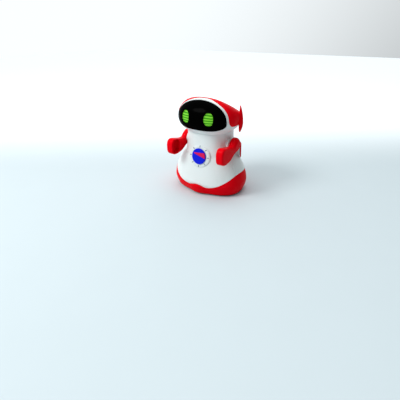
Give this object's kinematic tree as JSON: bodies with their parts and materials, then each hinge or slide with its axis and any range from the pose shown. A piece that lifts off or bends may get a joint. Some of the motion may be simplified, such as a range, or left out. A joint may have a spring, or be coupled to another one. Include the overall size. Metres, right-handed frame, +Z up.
{
  "type": "educational coding robot",
  "caption": "Small wheeled teaching robot with a flared round body, domed head, dark faceplate, swinging arms, a chest dial and keys on the back slope of the head.",
  "frame": {"origin": "middle of the bounding box in plan, on the surface the robot stands on", "axes": "-Y is the front, where the faceplate looks; +X is the robot's left; +Z is up"},
  "size_m": [0.1228, 0.0917, 0.151],
  "materials": {
    "white_shell": "satin gloss",
    "red_shell": "gloss",
    "faceplate": "high gloss",
    "eye_green": "glowing",
    "dial_blue": "satin",
    "pointer_red": "satin",
    "key_blue": "satin",
    "key_green": "satin",
    "key_yellow": "satin",
    "grey_plastic": "fine texture",
    "black_plastic": "satin",
    "glide": "smooth",
    "gear_plastic": "satin",
    "pinion_brass": "machined",
    "steel": "plain",
    "motor_can": "plain",
    "cell_sleeve": "printed sleeve",
    "board": "lacquered",
    "membrane": "matt",
    "hub": "satin",
    "tyre": "matt"
  },
  "bodies": {
    "body": {"chassis": "grey_plastic", "base_skirt": "red_shell", "front_shell": "white_shell", "back_shell": "white_shell", "rear_cover": "red_shell", "head_shell": "white_shell", "head_cap": "red_shell", "visor": "faceplate", "left_eye_lens": "eye_green", "right_eye_lens": "eye_green", "eye_board": "board", "left_ear": "red_shell", "right_ear": "red_shell", "main_board": "board", "keypad_board": "board", "keypad_membrane": "membrane", "speaker": "black_plastic", "dial_bezel": "white_shell", "dial_switch": "black_plastic", "power_switch": "steel", "battery_contacts": "steel", "battery_cells": "cell_sleeve", "case_screws": "steel", "glide_pads": "glide", "left_motor": "motor_can", "right_motor": "motor_can", "left_gearbox": "gear_plastic", "right_gearbox": "gear_plastic", "left_gearbox_cover": "gear_plastic", "right_gearbox_cover": "gear_plastic", "gear_pins": "steel"},
    "left_wheel": {"left_wheel_hub": "hub", "left_tyre": "tyre", "left_wheel_axle": "steel", "left_wheel_gear": "gear_plastic"},
    "right_wheel": {"right_wheel_hub": "hub", "right_tyre": "tyre", "right_wheel_axle": "steel", "right_wheel_gear": "gear_plastic"},
    "left_compound": {"left_compound_gear": "gear_plastic"},
    "right_compound": {"right_compound_gear": "gear_plastic"},
    "left_motor_pinion": {"left_pinion": "pinion_brass"},
    "right_motor_pinion": {"right_pinion": "pinion_brass"},
    "left_arm": {"left_arm": "red_shell", "left_arm_pin": "steel"},
    "right_arm": {"right_arm": "red_shell", "right_arm_pin": "steel"},
    "forward_key": {"key_forward": "key_blue"},
    "back_key": {"key_back": "key_blue"},
    "left_key": {"key_left": "key_blue"},
    "right_key": {"key_right": "key_blue"},
    "go_key": {"key_go": "key_green"},
    "clear_key": {"key_clear": "key_yellow"},
    "power_slider": {"switch_knob": "black_plastic"},
    "chest_dial": {"chest_dial": "dial_blue", "dial_pointer": "pointer_red"},
    "battery_cover": {"battery_door": "grey_plastic", "door_screw": "steel"}
  },
  "joints": [
    {"name": "left_wheel_spin", "type": "hinge", "parent": "body", "child": "left_wheel", "pos_m": [0.04475, 0.0037, 0.017], "axis": [1, 0, 0], "continuous": true},
    {"name": "left_compound_spin", "type": "hinge", "parent": "body", "child": "left_compound", "pos_m": [0.035, 0.01375, 0.02356], "axis": [1, 0, 0], "continuous": true},
    {"name": "left_pinion_spin", "type": "hinge", "parent": "body", "child": "left_motor_pinion", "pos_m": [0.0336, 0.0037, 0.031], "axis": [1, 0, 0], "continuous": true},
    {"name": "left_arm_swing", "type": "hinge", "parent": "body", "child": "left_arm", "pos_m": [0.04, 0.0017, 0.079], "axis": [1, 0, 0], "range_deg": [-38, 8]},
    {"name": "right_wheel_spin", "type": "hinge", "parent": "body", "child": "right_wheel", "pos_m": [-0.04475, 0.0037, 0.017], "axis": [1, 0, 0], "continuous": true},
    {"name": "right_compound_spin", "type": "hinge", "parent": "body", "child": "right_compound", "pos_m": [-0.035, 0.01375, 0.02356], "axis": [1, 0, 0], "continuous": true},
    {"name": "right_pinion_spin", "type": "hinge", "parent": "body", "child": "right_motor_pinion", "pos_m": [-0.0336, 0.0037, 0.031], "axis": [1, 0, 0], "continuous": true},
    {"name": "right_arm_swing", "type": "hinge", "parent": "body", "child": "right_arm", "pos_m": [-0.04, 0.0017, 0.079], "axis": [1, 0, 0], "range_deg": [-38, 8]},
    {"name": "forward_key_press", "type": "slide", "parent": "body", "child": "forward_key", "axis": [0, -0.5261, -0.8504], "range_m": [0, 0.0012], "stiffness_N_per_m": 400},
    {"name": "back_key_press", "type": "slide", "parent": "body", "child": "back_key", "axis": [0, -0.5261, -0.8504], "range_m": [0, 0.0012], "stiffness_N_per_m": 400},
    {"name": "left_key_press", "type": "slide", "parent": "body", "child": "left_key", "axis": [0, -0.5261, -0.8504], "range_m": [0, 0.0012], "stiffness_N_per_m": 400},
    {"name": "right_key_press", "type": "slide", "parent": "body", "child": "right_key", "axis": [0, -0.5261, -0.8504], "range_m": [0, 0.0012], "stiffness_N_per_m": 400},
    {"name": "go_key_press", "type": "slide", "parent": "body", "child": "go_key", "axis": [0, -0.5261, -0.8504], "range_m": [0, 0.0012], "stiffness_N_per_m": 400},
    {"name": "clear_key_press", "type": "slide", "parent": "body", "child": "clear_key", "axis": [0, -0.5261, -0.8504], "range_m": [0, 0.0012], "stiffness_N_per_m": 400},
    {"name": "power_slide", "type": "slide", "parent": "body", "child": "power_slider", "axis": [1, 0, 0], "range_m": [0, 0.007]},
    {"name": "dial_turn", "type": "hinge", "parent": "body", "child": "chest_dial", "pos_m": [0, -0.0295, 0.062], "axis": [0, -0.9848, 0.1736], "range_deg": [-150, 150]},
    {"name": "battery_cover_out", "type": "slide", "parent": "body", "child": "battery_cover", "axis": [0, 0, -1], "range_m": [0, 0.02]}
  ],
  "couplings": [
    {"joint": "left_compound_spin", "follows": "left_wheel_spin", "ratio": -3},
    {"joint": "left_pinion_spin", "follows": "left_wheel_spin", "ratio": 12},
    {"joint": "right_compound_spin", "follows": "right_wheel_spin", "ratio": -3},
    {"joint": "right_pinion_spin", "follows": "right_wheel_spin", "ratio": 12}
  ]
}
